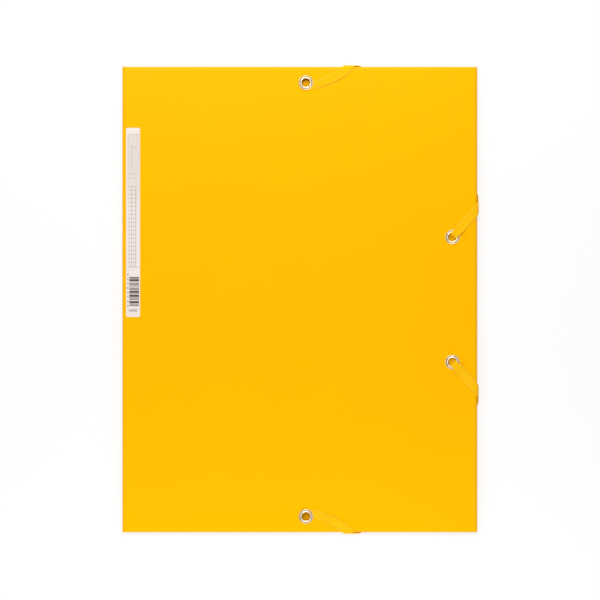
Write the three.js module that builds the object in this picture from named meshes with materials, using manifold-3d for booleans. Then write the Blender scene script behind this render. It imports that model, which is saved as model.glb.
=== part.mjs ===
import * as THREE from 'three';
import Module from 'manifold-3d';
import { mergeVertices } from 'three/addons/utils/BufferGeometryUtils.js';

const wasm = await Module();
wasm.setup();

// A three flap folder for A4 papers, closed and empty, lying on its front cover.
// Millimetres. +Z is up, through the back panel; the spine runs along Y on the -X side.

// The folded card
const folderWidth = 244; // spine to opening edge
const folderHeight = 320; // head edge to foot edge
const cardThickness = 0.5;
const layerGap = 0.3; // air between two layers of card that lie on each other
const paperRoom = 0.7; // air between the inner run of the elastic and the end flaps
const coverOverhang = 0.4; // how far the front cover stands past the folded edges
const spineSplit = 0.3; // opening between the two halves of the rounded spine
const foldSteps = 9; // facets over a half round fold

// The three flaps
const endFlapDepth = 115;
const sideFlapDepth = 110;
const endFlapTaper = 26; // how far each side of an end flap leans in, fold to tip
const sideFlapTaper = 18;
const flapCornerRadius = 14;
const flapCornerRelief = 1.2; // bare length at each end of a fold line

// The eyelets
const boreRadius = 2.9;
const eyeletWall = 0.35;
const flangeRadius = 5;
const flangeHeight = 0.9;
const lipRadius = 4.4; // rolled edge on the inside
const lipHeight = 0.7;
const eyeletFit = 0.25; // between the barrel and the card or the elastic around it
const eyeletFacets = 36;
const rimFoot = 0.2; // heights on the flange's two ridges, as shares of flangeHeight
const rimShoulder = 0.55;
const rimTop = 0.78;
const valley = 0.55;
const mouthShoulder = 0.85;
const mouthFoot = 0.4;
const endEyeletInset = 11; // from the head or foot edge
const endEyeletX = 4.3; // from the middle of the folder
const sideEyeletInset = 17; // from the opening edge
const sideEyeletSpacing = 86;

// The elastic
const elasticWidth = 7;
const elasticThickness = 0.7;
const elasticClearance = 0.3; // between the elastic and what it passes
const pinchedThickness = 0.4; // where a flange clamps its end
const endCrossingX = 32; // where it goes over the head edge, from the middle of the folder
const passageOffset = 0.8; // from the axis of a side eyelet to the elastic in its bore
const flangeApproach = 6; // length over which the elastic climbs onto a flange
const clampDrop = 2.6; // from the axis of an end eyelet to the elastic's middle, away from the edge
const clampSlope = 0.2; // radians, how it leaves the clamp towards the edge
const endCurveReach = 13; // length over which it keeps that slope before it turns to the edge

// The label
const labelWidth = 9.6;
const labelLength = 130;
const labelThickness = 0.15;
const labelCentreY = 53;
const labelInset = 0.2; // past the rounded spine
const labelCornerRadius = 1.2;

// Heights of the layers, from the elastic's front runs up to the back panel
const coverOuterZ = elasticThickness + elasticClearance;
const coverInnerZ = coverOuterZ + cardThickness;
const sideFlapZ = coverInnerZ + layerGap;
const endFlapZ = sideFlapZ + cardThickness + layerGap;
const innerRunDrop = lipHeight + elasticClearance + elasticThickness;
const panelInnerZ = endFlapZ + cardThickness + paperRoom + innerRunDrop;
const panelOuterZ = panelInnerZ + cardThickness;

// Folds and edges in plan, from the middle of the folder
const spineX = -folderWidth / 2;
const openingX = folderWidth / 2;
const headY = folderHeight / 2;
const spineRadius = (panelOuterZ - coverOuterZ) / 2;
const endFoldRadius = (panelOuterZ - endFlapZ) / 2;
const sideFoldRadius = (panelOuterZ - sideFlapZ) / 2;
const barrelRadius = boreRadius + eyeletWall;
const sideEyeletX = openingX - sideEyeletInset;
const endEyeletY = headY - endEyeletInset;
const sideEyeletY = sideEyeletSpacing / 2;
const elasticReach = coverOverhang + elasticClearance + elasticThickness;
const foldLap = 2; // the stretch of panel that each fold is joined over

const colours = {
  card: '#fec000',
  elastic: '#ffc61a',
  nickel: '#c9c9c6',
  label: '#efe6e0'
};

const cardMaterial = new THREE.MeshStandardMaterial({ color: colours.card, roughness: 0.38, metalness: 0 });
const elasticMaterial = new THREE.MeshStandardMaterial({ color: colours.elastic, roughness: 0.75, metalness: 0 });
const nickelMaterial = new THREE.MeshStandardMaterial({ color: colours.nickel, roughness: 0.22, metalness: 1 });
const labelMaterial = new THREE.MeshStandardMaterial({ color: colours.label, roughness: 0.7, metalness: 0 });

function toSolid(geometry) {
  const bare = geometry.index ? geometry.toNonIndexed() : geometry.clone();
  bare.deleteAttribute('normal');
  bare.deleteAttribute('uv');
  const merged = mergeVertices(bare, 1e-5);
  const vertProperties = new Float32Array(merged.attributes.position.array);
  const triVerts = new Uint32Array(merged.index.array);
  return new wasm.Manifold(new wasm.Mesh({ numProp: 3, vertProperties, triVerts }));
}

function toGeometry(solid) {
  const mesh = solid.getMesh();
  const geometry = new THREE.BufferGeometry();
  geometry.setAttribute('position', new THREE.BufferAttribute(mesh.vertProperties, 3));
  geometry.setIndex(new THREE.BufferAttribute(mesh.triVerts, 1));
  return geometry;
}

function extrude(shape, depth, options = {}) {
  return new THREE.ExtrudeGeometry(shape, { depth, bevelEnabled: false, curveSegments: 12, ...options });
}

// Turns a section drawn in X and Z, and extruded, so that it runs along Y about the middle.
function alongY(geometry, length) {
  return geometry.rotateX(Math.PI / 2).translate(0, length / 2, 0);
}

// One half of the rounded spine with a stretch of flat cover beyond it. side is 1 for the
// half that belongs to the back panel and -1 for the half that belongs to the front cover.
function spineSection(side, flatEndX, flatSteps) {
  const centreX = spineX + spineRadius;
  const centreZ = (panelOuterZ + coverOuterZ) / 2;
  const innerRadius = spineRadius - cardThickness;
  const lowest = Math.asin(spineSplit / 2 / innerRadius);
  const arcSteps = Math.ceil(foldSteps / 2);
  const outline = [];
  const arcPoint = (radius, step) => {
    const angle = lowest + (Math.PI / 2 - lowest) * step / arcSteps;
    return new THREE.Vector2(centreX - radius * Math.cos(angle), centreZ + side * radius * Math.sin(angle));
  };
  const flatLength = flatEndX - centreX;
  for (let step = 0; step <= arcSteps; step++) outline.push(arcPoint(spineRadius, step));
  for (let step = 1; step <= flatSteps; step++) {
    outline.push(new THREE.Vector2(centreX + flatLength * step / flatSteps, centreZ + side * spineRadius));
  }
  for (let step = flatSteps; step >= 1; step--) {
    outline.push(new THREE.Vector2(centreX + flatLength * step / flatSteps, centreZ + side * innerRadius));
  }
  for (let step = arcSteps; step >= 0; step--) outline.push(arcPoint(innerRadius, step));
  return new THREE.Shape(outline);
}

function makeFrontCover() {
  const length = folderHeight + 2 * coverOverhang;
  const section = spineSection(-1, openingX + coverOverhang, 6);
  return alongY(extrude(section, length, { steps: 8 }), length);
}

// A fold that turns back under the panel and ends in a flap. It is drawn with its fold line
// on the X axis, facing +Y, and the panel on the -Y side.
function makeFlap({ foldLength, foldRadius, flapZ, depth, taper }) {
  const section = new THREE.Shape();
  section.moveTo(-foldRadius - foldLap, panelOuterZ);
  section.lineTo(-foldRadius, panelOuterZ);
  section.absarc(-foldRadius, flapZ + foldRadius, foldRadius, Math.PI / 2, -Math.PI / 2, true);
  section.lineTo(-depth, flapZ);
  section.lineTo(-depth, flapZ + cardThickness);
  const innerRadius = foldRadius - cardThickness;
  section.absarc(-foldRadius, flapZ + foldRadius, innerRadius, -Math.PI / 2, Math.PI / 2, false);
  section.lineTo(-foldRadius - foldLap, panelInnerZ);
  section.closePath();
  const toFoldAxes = new THREE.Matrix4().makeBasis(
    new THREE.Vector3(0, 1, 0), new THREE.Vector3(0, 0, 1), new THREE.Vector3(1, 0, 0));
  const sheet = extrude(section, foldLength, { curveSegments: foldSteps }).applyMatrix4(toFoldAxes);
  sheet.translate(-foldLength / 2, 0, 0);

  const half = foldLength / 2;
  const tip = half - taper;
  const lean = taper / depth;
  const plan = new THREE.Shape();
  plan.moveTo(-half, 1);
  plan.lineTo(-half, -foldRadius - foldLap);
  plan.lineTo(-tip - lean * flapCornerRadius, -depth + flapCornerRadius);
  plan.quadraticCurveTo(-tip, -depth, -tip + flapCornerRadius, -depth);
  plan.lineTo(tip - flapCornerRadius, -depth);
  plan.quadraticCurveTo(tip, -depth, tip + lean * flapCornerRadius, -depth + flapCornerRadius);
  plan.lineTo(half, -foldRadius - foldLap);
  plan.lineTo(half, 1);
  plan.closePath();
  const prism = extrude(plan, panelOuterZ).translate(0, 0, 0.5 * coverOuterZ);
  return toSolid(sheet).intersect(toSolid(prism));
}

function makeBackSheet() {
  const left = spineX + spineRadius;
  const right = openingX - sideFoldRadius;
  const top = headY - endFoldRadius;
  const panel = new THREE.Shape();
  panel.moveTo(left, -top);
  panel.lineTo(right, -top);
  panel.lineTo(right, top);
  panel.lineTo(left, top);
  panel.closePath();
  for (const { x, y } of eyeletPlaces) {
    const hole = new THREE.Path();
    hole.absarc(x, y, barrelRadius + eyeletFit, 0, 2 * Math.PI, true);
    panel.holes.push(hole);
  }
  const flat = extrude(panel, cardThickness, { curveSegments: eyeletFacets });
  let sheet = toSolid(flat.translate(0, 0, panelInnerZ));

  const spineLength = 2 * top;
  const spineHalf = extrude(spineSection(1, left + foldLap, 1), spineLength);
  sheet = sheet.add(toSolid(alongY(spineHalf, spineLength)));

  const endFoldLength = right - left - 2 * flapCornerRelief;
  const endFlap = makeFlap({
    foldLength: endFoldLength,
    foldRadius: endFoldRadius,
    flapZ: endFlapZ,
    depth: endFlapDepth,
    taper: endFlapTaper
  });
  const sideFlap = makeFlap({
    foldLength: 2 * (top - flapCornerRelief),
    foldRadius: sideFoldRadius,
    flapZ: sideFlapZ,
    depth: sideFlapDepth,
    taper: sideFlapTaper
  });
  const middleX = (left + right) / 2;
  sheet = sheet.add(endFlap.translate([middleX, headY, 0]));
  sheet = sheet.add(endFlap.rotate([0, 0, 180]).translate([middleX, -headY, 0]));
  sheet = sheet.add(sideFlap.rotate([0, 0, -90]).translate([openingX, 0, 0]));
  return toGeometry(sheet);
}

// A flange on the outside, a barrel through the card and a lip rolled over on the inside.
function makeEyelet(seatZ) {
  const crown = new THREE.SplineCurve([
    new THREE.Vector2(flangeRadius, seatZ + rimFoot * flangeHeight),
    new THREE.Vector2(flangeRadius - 0.4 * eyeletWall, seatZ + rimShoulder * flangeHeight),
    new THREE.Vector2(flangeRadius - 1.5 * eyeletWall, seatZ + rimTop * flangeHeight),
    new THREE.Vector2((flangeRadius + barrelRadius) / 2, seatZ + valley * flangeHeight),
    new THREE.Vector2(barrelRadius + 0.3 * eyeletWall, seatZ + flangeHeight),
    new THREE.Vector2(boreRadius + 0.25 * eyeletWall, seatZ + mouthShoulder * flangeHeight),
    new THREE.Vector2(boreRadius, seatZ + mouthFoot * flangeHeight)
  ]);
  const rollCentre = (boreRadius + lipRadius) / 2;
  const rollReach = (lipRadius - boreRadius) / 2;
  const roll = new THREE.EllipseCurve(
    rollCentre, panelInnerZ, rollReach, lipHeight, Math.PI, 2 * Math.PI);
  const profile = [
    new THREE.Vector2(barrelRadius, seatZ),
    new THREE.Vector2(flangeRadius - 0.5 * eyeletWall, seatZ),
    ...crown.getPoints(13),
    ...roll.getPoints(8),
    new THREE.Vector2(barrelRadius, panelInnerZ),
    new THREE.Vector2(barrelRadius, seatZ)
  ];
  return new THREE.LatheGeometry(profile, eyeletFacets).rotateX(Math.PI / 2);
}

// The way of the elastic's middle layer over one edge of the closed folder, seen in section:
// round the fold, down past the layers and round the front cover's edge. outward is the
// distance from the middle of the folder and length is measured along the elastic.
function edgeWrap(edge, foldRadius) {
  const layer = elasticClearance + elasticThickness / 2;
  const coverEdge = edge + coverOverhang;
  const foldArc = foldRadius + layer;
  const foldCentre = { outward: coverEdge - foldRadius, z: panelOuterZ - foldRadius };
  const stations = [];
  let length = 0;
  const arcStations = (centreOutward, centreZ, radius, fromAngle, steps) => {
    for (let step = 0; step <= steps; step++) {
      const angle = fromAngle - Math.PI / 2 * step / steps;
      const along = length + radius * Math.PI / 2 * step / steps;
      const away = [Math.cos(angle), Math.sin(angle)];
      stations.push({
        length: along,
        outward: centreOutward + radius * away[0],
        z: centreZ + radius * away[1],
        normal: away
      });
    }
    length += radius * Math.PI / 2;
  };
  arcStations(foldCentre.outward, foldCentre.z, foldArc, Math.PI / 2, 7);
  length += foldCentre.z - coverOuterZ;
  arcStations(coverEdge, coverOuterZ, layer, 0, 5);
  return { stations, length, backTangent: foldCentre.outward, frontTangent: coverEdge };
}

// The elastic is a list of rows. Each row crosses it from its left to its right edge at one
// place along its length, and knows which way is out of the surface that it lies on.
function row(x, y, z, rowAngle, halfLength, normal, halfThickness) {
  const across = new THREE.Vector3(Math.cos(rowAngle), Math.sin(rowAngle), 0).multiplyScalar(halfLength);
  const middle = new THREE.Vector3(x, y, z);
  return { left: middle.clone().add(across), right: middle.clone().sub(across), normal, halfThickness };
}

const mix = THREE.MathUtils.lerp;
const smooth = (value, low, high) => THREE.MathUtils.smoothstep(value, low, high);

// From the clamped end under the head eyelet to the middle of the inner run.
function elasticHalf() {
  const head = edgeWrap(headY, endFoldRadius);
  const side = edgeWrap(openingX, sideFoldRadius);
  const backZ = panelOuterZ + elasticClearance + elasticThickness / 2;
  const frontZ = elasticThickness / 2;
  const halfWidth = elasticWidth / 2;
  const halfThickness = elasticThickness / 2;
  const up = new THREE.Vector3(0, 0, 1);
  const down = new THREE.Vector3(0, 0, -1);
  const rows = [];

  // A taut elastic is straight on the unfolded surfaces, from the head edge to the side eyelet.
  const unfoldedX = side.frontTangent - endCrossingX + side.length + side.backTangent - sideEyeletX;
  const unfoldedY = head.length + head.frontTangent - sideEyeletY;
  const slant = Math.atan2(unfoldedY, unfoldedX);
  const acrossHead = halfWidth / Math.sin(slant);
  const acrossSide = halfWidth / Math.cos(slant);

  // Out of the clamp and up to the head edge
  const clampY = endEyeletY - clampDrop;
  const turnLength = (head.backTangent - clampY) / 2;
  const leaveX = endEyeletX + endCurveReach * Math.cos(clampSlope);
  const leaveY = clampY + endCurveReach * Math.sin(clampSlope);
  const arriveX = endCrossingX - turnLength * Math.cos(slant);
  const arriveY = head.backTangent - turnLength * Math.sin(slant);
  const headCurve = new THREE.CubicBezierCurve(
    new THREE.Vector2(endEyeletX, clampY),
    new THREE.Vector2(leaveX, leaveY),
    new THREE.Vector2(arriveX, arriveY),
    new THREE.Vector2(endCrossingX, head.backTangent)
  );
  const releaseStart = flangeRadius + halfWidth / 2;
  const curveSteps = 18;
  for (let step = 0; step < curveSteps; step++) {
    const share = step / curveSteps;
    const place = headCurve.getPointAt(share);
    const heading = headCurve.getTangentAt(share).angle();
    const rowAngle = mix(Math.PI / 2 + clampSlope, Math.PI, share);
    const fromEyelet = Math.hypot(place.x - endEyeletX, place.y - endEyeletY);
    const release = smooth(fromEyelet, releaseStart, releaseStart + flangeApproach);
    const z = mix(panelOuterZ + pinchedThickness / 2, backZ, release);
    const half = mix(pinchedThickness / 2, halfThickness, release);
    rows.push(row(place.x, place.y, z, rowAngle, halfWidth / Math.sin(rowAngle - heading), up, half));
  }

  // Over the head edge
  for (const { length, outward, z, normal } of head.stations) {
    const x = endCrossingX + length / Math.tan(slant);
    const out = new THREE.Vector3(0, normal[0], normal[1]);
    rows.push(row(x, outward, z, Math.PI, acrossHead, out, halfThickness));
  }

  // Across the corner of the front cover
  const frontStartX = endCrossingX + head.length / Math.tan(slant);
  const frontRunX = side.frontTangent - frontStartX;
  const frontSteps = 14;
  for (let step = 1; step < frontSteps; step++) {
    const share = step / frontSteps;
    const rowAngle = mix(Math.PI, 1.5 * Math.PI, share);
    const x = frontStartX + frontRunX * share;
    const y = head.frontTangent - frontRunX * share * Math.tan(slant);
    const halfLength = halfWidth / Math.abs(Math.sin(rowAngle + slant));
    rows.push(row(x, y, frontZ, rowAngle, halfLength, down, halfThickness));
  }

  // Over the opening edge, on to the back
  const sideStartY = head.frontTangent - frontRunX * Math.tan(slant);
  for (const { length, outward, z, normal } of [...side.stations].reverse()) {
    const y = sideStartY - (side.length - length) * Math.tan(slant);
    const out = new THREE.Vector3(normal[0], 0, normal[1]);
    rows.push(row(outward, y, z, 1.5 * Math.PI, acrossSide, out, halfThickness));
  }

  // Up on to the side eyelet's flange, and narrower to fit its bore
  const passageTopZ = panelOuterZ + flangeHeight + elasticClearance + elasticThickness / 2;
  const passageLowZ = panelInnerZ - innerRunDrop + elasticThickness / 2;
  const bend = (passageTopZ - passageLowZ) / 2;
  const clearBore = boreRadius - elasticClearance;
  const passageHalf = Math.sqrt(clearBore ** 2 - (passageOffset + elasticThickness / 2) ** 2);
  const backStartY = sideStartY - side.length * Math.tan(slant);
  const backRun = Math.hypot(side.backTangent - sideEyeletX, backStartY - sideEyeletY);
  const passageStart = passageOffset + bend;
  const climbEnd = flangeRadius + elasticThickness;
  const approachSteps = 12;
  for (let step = 1; step < approachSteps; step++) {
    const share = step / approachSteps;
    const toEyelet = mix(backRun, passageStart, share);
    const rowAngle = 1.5 * Math.PI + slant * Math.min(1, 2 * share);
    const climb = 1 - smooth(toEyelet, climbEnd, climbEnd + flangeApproach);
    const narrow = mix(halfWidth, passageHalf, climb);
    const x = sideEyeletX + toEyelet * Math.cos(slant);
    const y = sideEyeletY + toEyelet * Math.sin(slant);
    const halfLength = narrow / Math.sin(rowAngle - slant - Math.PI);
    rows.push(row(x, y, mix(backZ, passageTopZ, climb), rowAngle, halfLength, up, halfThickness));
  }

  // Down through the bore, turning to run along the inside of the panel
  const place = new THREE.Vector3(
    sideEyeletX + passageStart * Math.cos(slant), sideEyeletY + passageStart * Math.sin(slant), passageTopZ);
  const passageSteps = 16;
  const stepLength = Math.PI * bend / passageSteps;
  const passageFrame = (share) => ({
    pitch: Math.PI / 2 * (1 - Math.abs(1 - 2 * share)),
    heading: mix(Math.PI + slant, 1.5 * Math.PI, Math.max(0, 2 * share - 1))
  });
  for (let step = 0; step <= passageSteps; step++) {
    const { pitch, heading } = passageFrame(step / passageSteps);
    const forward = new THREE.Vector3(Math.cos(heading), Math.sin(heading), 0);
    const normal = forward.multiplyScalar(Math.sin(pitch)).addScaledVector(up, Math.cos(pitch));
    rows.push(row(place.x, place.y, place.z, heading + Math.PI / 2, passageHalf, normal, halfThickness));
    if (step < passageSteps) {
      const next = passageFrame((step + 0.5) / passageSteps);
      place.x += stepLength * Math.cos(next.pitch) * Math.cos(next.heading);
      place.y += stepLength * Math.cos(next.pitch) * Math.sin(next.heading);
      place.z -= stepLength * Math.sin(next.pitch);
    }
  }

  // Along the inside, to half way between the two side eyelets
  const innerSteps = 8;
  for (let step = 1; step <= innerSteps; step++) {
    const share = (step / innerSteps) ** 2;
    const y = mix(place.y, 0, share);
    const widen = smooth(place.y - y, 0, flangeApproach);
    const halfLength = mix(passageHalf, halfWidth, widen);
    rows.push(row(place.x, y, passageLowZ, 2 * Math.PI, halfLength, up, halfThickness));
  }
  return rows;
}

function loft(rows) {
  const corners = rows.map(({ left, right, normal, halfThickness }) => [
    right.clone().addScaledVector(normal, -halfThickness),
    left.clone().addScaledVector(normal, -halfThickness),
    left.clone().addScaledVector(normal, halfThickness),
    right.clone().addScaledVector(normal, halfThickness)
  ]);
  const index = [];
  for (let near = 0; near < corners.length - 1; near++) {
    for (let corner = 0; corner < 4; corner++) {
      const a = near * 4 + corner;
      const b = near * 4 + (corner + 1) % 4;
      index.push(a, b, a + 4, b, b + 4, a + 4);
    }
  }
  const last = (corners.length - 1) * 4;
  index.push(0, 2, 1, 0, 3, 2);
  index.push(last, last + 1, last + 2, last, last + 2, last + 3);
  const geometry = new THREE.BufferGeometry().setFromPoints(corners.flat());
  geometry.setIndex(index);
  return geometry;
}

function makeElastic() {
  const upper = elasticHalf();
  const mirrorY = (point) => new THREE.Vector3(point.x, -point.y, point.z);
  const lower = upper.slice(0, -1).reverse().map(({ left, right, normal, halfThickness }) => (
    { left: mirrorY(left), right: mirrorY(right), normal: mirrorY(normal), halfThickness }
  ));
  let band = toSolid(loft([...upper, ...lower]));
  for (const y of [endEyeletY, -endEyeletY]) {
    const barrel = new THREE.CylinderGeometry(
      barrelRadius + eyeletFit, barrelRadius + eyeletFit, 4 * panelOuterZ, eyeletFacets);
    barrel.rotateX(Math.PI / 2).translate(endEyeletX, y, panelOuterZ);
    band = band.subtract(toSolid(barrel));
  }
  return toGeometry(band);
}

function makeLabel() {
  const left = spineX + spineRadius + labelInset;
  const right = left + labelWidth;
  const low = labelCentreY - labelLength / 2;
  const high = labelCentreY + labelLength / 2;
  const r = labelCornerRadius;
  const outline = new THREE.Shape();
  outline.absarc(right - r, low + r, r, -Math.PI / 2, 0, false);
  outline.absarc(right - r, high - r, r, 0, Math.PI / 2, false);
  outline.absarc(left + r, high - r, r, Math.PI / 2, Math.PI, false);
  outline.absarc(left + r, low + r, r, Math.PI, 1.5 * Math.PI, false);
  outline.closePath();
  return extrude(outline, labelThickness, { curveSegments: 5 }).translate(0, 0, panelOuterZ);
}

// The head and foot eyelets clamp the ends of the elastic, and so sit a little higher.
const eyeletPlaces = [
  { name: 'eyelet_head', x: endEyeletX, y: endEyeletY, seatZ: panelOuterZ + pinchedThickness },
  { name: 'eyelet_foot', x: endEyeletX, y: -endEyeletY, seatZ: panelOuterZ + pinchedThickness },
  { name: 'eyelet_side_upper', x: sideEyeletX, y: sideEyeletY, seatZ: panelOuterZ },
  { name: 'eyelet_side_lower', x: sideEyeletX, y: -sideEyeletY, seatZ: panelOuterZ }
];

const folder = new THREE.Group();

function addPiece(name, geometry, material) {
  const mesh = new THREE.Mesh(geometry, material);
  mesh.name = name;
  folder.add(mesh);
  return mesh;
}

addPiece('front_cover', makeFrontCover(), cardMaterial);
addPiece('back_panel_with_flaps', makeBackSheet(), cardMaterial);
addPiece('elastic_band', makeElastic(), elasticMaterial);
addPiece('spine_label', makeLabel(), labelMaterial);
for (const { name, x, y, seatZ } of eyeletPlaces) {
  addPiece(name, makeEyelet(seatZ), nickelMaterial).position.set(x, y, 0);
}

// The elastic stands out past the opening edge, so the middle of the whole lies off centre.
folder.position.x = -elasticReach / 2;

export default folder;
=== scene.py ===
import math
import random

import bmesh
import bpy
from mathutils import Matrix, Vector


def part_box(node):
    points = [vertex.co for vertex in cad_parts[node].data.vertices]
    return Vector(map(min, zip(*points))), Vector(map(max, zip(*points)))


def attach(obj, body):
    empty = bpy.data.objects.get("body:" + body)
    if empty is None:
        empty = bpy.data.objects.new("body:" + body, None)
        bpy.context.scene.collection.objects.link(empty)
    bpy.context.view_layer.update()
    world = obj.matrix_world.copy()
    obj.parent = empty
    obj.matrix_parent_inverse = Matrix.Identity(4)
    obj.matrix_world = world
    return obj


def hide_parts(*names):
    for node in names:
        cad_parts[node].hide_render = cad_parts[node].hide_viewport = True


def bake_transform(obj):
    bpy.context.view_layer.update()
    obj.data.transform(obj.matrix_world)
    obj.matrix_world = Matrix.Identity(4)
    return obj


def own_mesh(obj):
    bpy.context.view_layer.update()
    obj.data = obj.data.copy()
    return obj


# A yellow three flap folder, closed, lying on its front cover with its eyelets up.
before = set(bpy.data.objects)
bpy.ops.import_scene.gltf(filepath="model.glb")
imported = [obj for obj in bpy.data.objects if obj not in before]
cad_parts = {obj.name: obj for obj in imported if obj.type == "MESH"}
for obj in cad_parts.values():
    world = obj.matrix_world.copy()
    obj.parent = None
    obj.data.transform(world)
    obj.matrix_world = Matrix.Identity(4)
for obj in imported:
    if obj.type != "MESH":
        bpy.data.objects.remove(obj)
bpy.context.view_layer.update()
print("stage: frame loaded")

mm = 0.001
backLow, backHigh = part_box("back_panel_with_flaps")
coverLow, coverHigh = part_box("front_cover")
labelLow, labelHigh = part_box("spine_label")
panelZ = backHigh.z
coverZ = coverLow.z
spineX = backLow.x
openingX = backHigh.x
headY = backHigh.y
hingeZ = (panelZ + coverZ) / 2
folderX = (spineX + openingX) / 2
cardThickness = 0.5 * mm
layerGap = 0.3 * mm
sideFlapZ = coverZ + cardThickness + layerGap
endFlapZ = sideFlapZ + cardThickness + layerGap
sideFoldRadius = (panelZ - sideFlapZ) / 2
endFoldRadius = (panelZ - endFlapZ) / 2
spineRadius = (panelZ - coverZ) / 2
mergeDistance = 0.001 * mm
sharpAngle = math.radians(40)


# The camera looks straight down, with the head edge at the top of the picture
camera = {
    "height": 1.6,
    "sensor": 36 * mm,
    "frameWidth": 412.4 * mm,
    "besideMiddle": (0.24 * mm, -0.34 * mm),
    "clip": (0.01, 20),
}


def makeCamera():
    data = bpy.data.cameras.new("camera")
    data.sensor_width = camera["sensor"] / mm
    data.lens = data.sensor_width * camera["height"] / camera["frameWidth"]
    data.clip_start, data.clip_end = camera["clip"]
    eye = bpy.data.objects.new("camera", data)
    eye.location = (
        folderX + camera["besideMiddle"][0],
        camera["besideMiddle"][1],
        panelZ + camera["height"],
    )
    bpy.context.scene.collection.objects.link(eye)
    bpy.context.scene.camera = eye


makeCamera()


# Shader maths: an expression on values adds its Math nodes
class Value:
    def __init__(self, graph, socket):
        self.graph = graph
        self.socket = socket

    def maths(self, operation, *others):
        node = self.graph.tree.nodes.new("ShaderNodeMath")
        node.operation = operation
        for place, item in enumerate((self, *others)):
            self.graph.feed(node.inputs[place], item)
        return Value(self.graph, node.outputs[0])

    def reflected(self, operation, other):
        node = self.graph.tree.nodes.new("ShaderNodeMath")
        node.operation = operation
        self.graph.feed(node.inputs[0], other)
        self.graph.feed(node.inputs[1], self)
        return Value(self.graph, node.outputs[0])

    def __add__(self, other):
        return self.maths("ADD", other)

    def __radd__(self, other):
        return self.reflected("ADD", other)

    def __sub__(self, other):
        return self.maths("SUBTRACT", other)

    def __rsub__(self, other):
        return self.reflected("SUBTRACT", other)

    def __mul__(self, other):
        return self.maths("MULTIPLY", other)

    def __rmul__(self, other):
        return self.reflected("MULTIPLY", other)

    def __truediv__(self, other):
        return self.maths("DIVIDE", other)

    def __gt__(self, other):
        return self.maths("GREATER_THAN", other)

    def __lt__(self, other):
        return self.maths("LESS_THAN", other)


class Graph:
    def __init__(self, tree, material=None):
        self.tree = tree
        self.material = material

    def feed(self, socket, item):
        if isinstance(item, Value):
            self.tree.links.new(item.socket, socket)
        else:
            socket.default_value = item

    def add(self, kind, settings=None, inputs=None, output=0):
        node = self.tree.nodes.new(kind)
        for key, setting in (settings or {}).items():
            if key == "stops":
                setRamp(node.color_ramp, setting)
            else:
                setattr(node, key, setting)
        for key, item in (inputs or {}).items():
            self.feed(node.inputs[key], item)
        return Value(self, node.outputs[output])

    def parts(self, vector):
        node = self.tree.nodes.new("ShaderNodeSeparateXYZ")
        self.feed(node.inputs[0], vector)
        return [Value(self, socket) for socket in node.outputs]

    def mixColour(self, factor, first, second):
        node = self.tree.nodes.new("ShaderNodeMix")
        node.data_type = "RGBA"
        self.feed(node.inputs[0], factor)
        self.feed(node.inputs[6], first)
        self.feed(node.inputs[7], second)
        return Value(self, node.outputs[2])

    def noise(self, vector, scale, detail, roughness):
        inputs = {"Vector": vector, "Scale": scale, "Detail": detail, "Roughness": roughness}
        return self.add("ShaderNodeTexNoise", {"noise_dimensions": "3D"}, inputs)

    def smoothStep(self, value, low, high):
        inputs = {"Value": value, "From Min": low, "From Max": high}
        return self.add("ShaderNodeMapRange", {"interpolation_type": "SMOOTHSTEP"}, inputs)

    def bump(self, height, strength, depth):
        inputs = {"Strength": strength, "Distance": depth, "Height": height}
        return self.add("ShaderNodeBump", None, inputs)

    def principled(self, inputs):
        return self.finish(self.add("ShaderNodeBsdfPrincipled", None, inputs))

    def finish(self, shader):
        out = self.tree.nodes.new("ShaderNodeOutputMaterial")
        self.tree.links.new(shader.socket, out.inputs["Surface"])
        return self.material


def materialGraph(name):
    material = bpy.data.materials.new(name)
    material.use_nodes = True
    material.node_tree.nodes.clear()
    return Graph(material.node_tree, material)


def setRamp(ramp, stops):
    ramp.interpolation = stops.get("interpolation", "LINEAR")
    points = stops["points"]
    while len(ramp.elements) < len(points):
        ramp.elements.new(1.0)
    for element, (place, colour) in zip(ramp.elements, points):
        element.position = place
        element.color = colour


def grey(level):
    return (level, level, level, 1)


# A colour as it is seen on a screen, 0 to 255, in Blender's linear light
def linear(red, green, blue):
    channels = []
    for byte in (red, green, blue):
        share = byte / 255
        channels.append(share / 12.92 if share <= 0.04045 else ((share + 0.055) / 1.055) ** 2.4)
    return (*channels, 1)


# Glazed yellow card. Each noise is given as its scale, detail and roughness.
card = {
    "colour": linear(254, 184, 0),
    "shade": linear(251, 178, 0),
    "light": linear(255, 185, 0),
    "clouds": (21, 3.0, 0.55),
    "cloudRange": (0.3, 0.75),
    "calender": (420, 3.0, 0.6),
    "fibres": (2600, 4.0, 0.65),
    "fibreRange": (0.45, 0.8),
    "fibreShade": 0.2,
    "roughness": 0.2,
    "calenderRough": 0.16,
    "fibreRough": 0.08,
    "fibreHeight": 0.35,
    "bump": (0.05, 0.12 * mm),
    "specular": 0.04,
    "coat": 0.01,
    "coatRoughness": 0.22,
    "creaseAngle": math.radians(32),
}


def cardFinish():
    graph = materialGraph("glazed_yellow_card")
    place = graph.add("ShaderNodeTexCoord", output="Object")
    clouds = graph.noise(place, *card["clouds"])
    calender = graph.noise(place, *card["calender"])
    fibres = graph.noise(place, *card["fibres"])
    base = graph.mixColour(graph.smoothStep(clouds, *card["cloudRange"]), card["colour"], card["light"])
    shaded = graph.smoothStep(fibres, *card["fibreRange"]) * card["fibreShade"]
    base = graph.mixColour(shaded, base, card["shade"])
    height = fibres * card["fibreHeight"] + calender * (1 - card["fibreHeight"])
    uneven = (calender - 0.5) * card["calenderRough"] + (fibres - 0.5) * card["fibreRough"]
    return graph.principled({
        "Base Color": base,
        "Roughness": card["roughness"] + uneven,
        "Specular IOR Level": card["specular"],
        "Coat Weight": card["coat"],
        "Coat Roughness": card["coatRoughness"],
        "Normal": graph.bump(height, *card["bump"]),
    })


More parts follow.
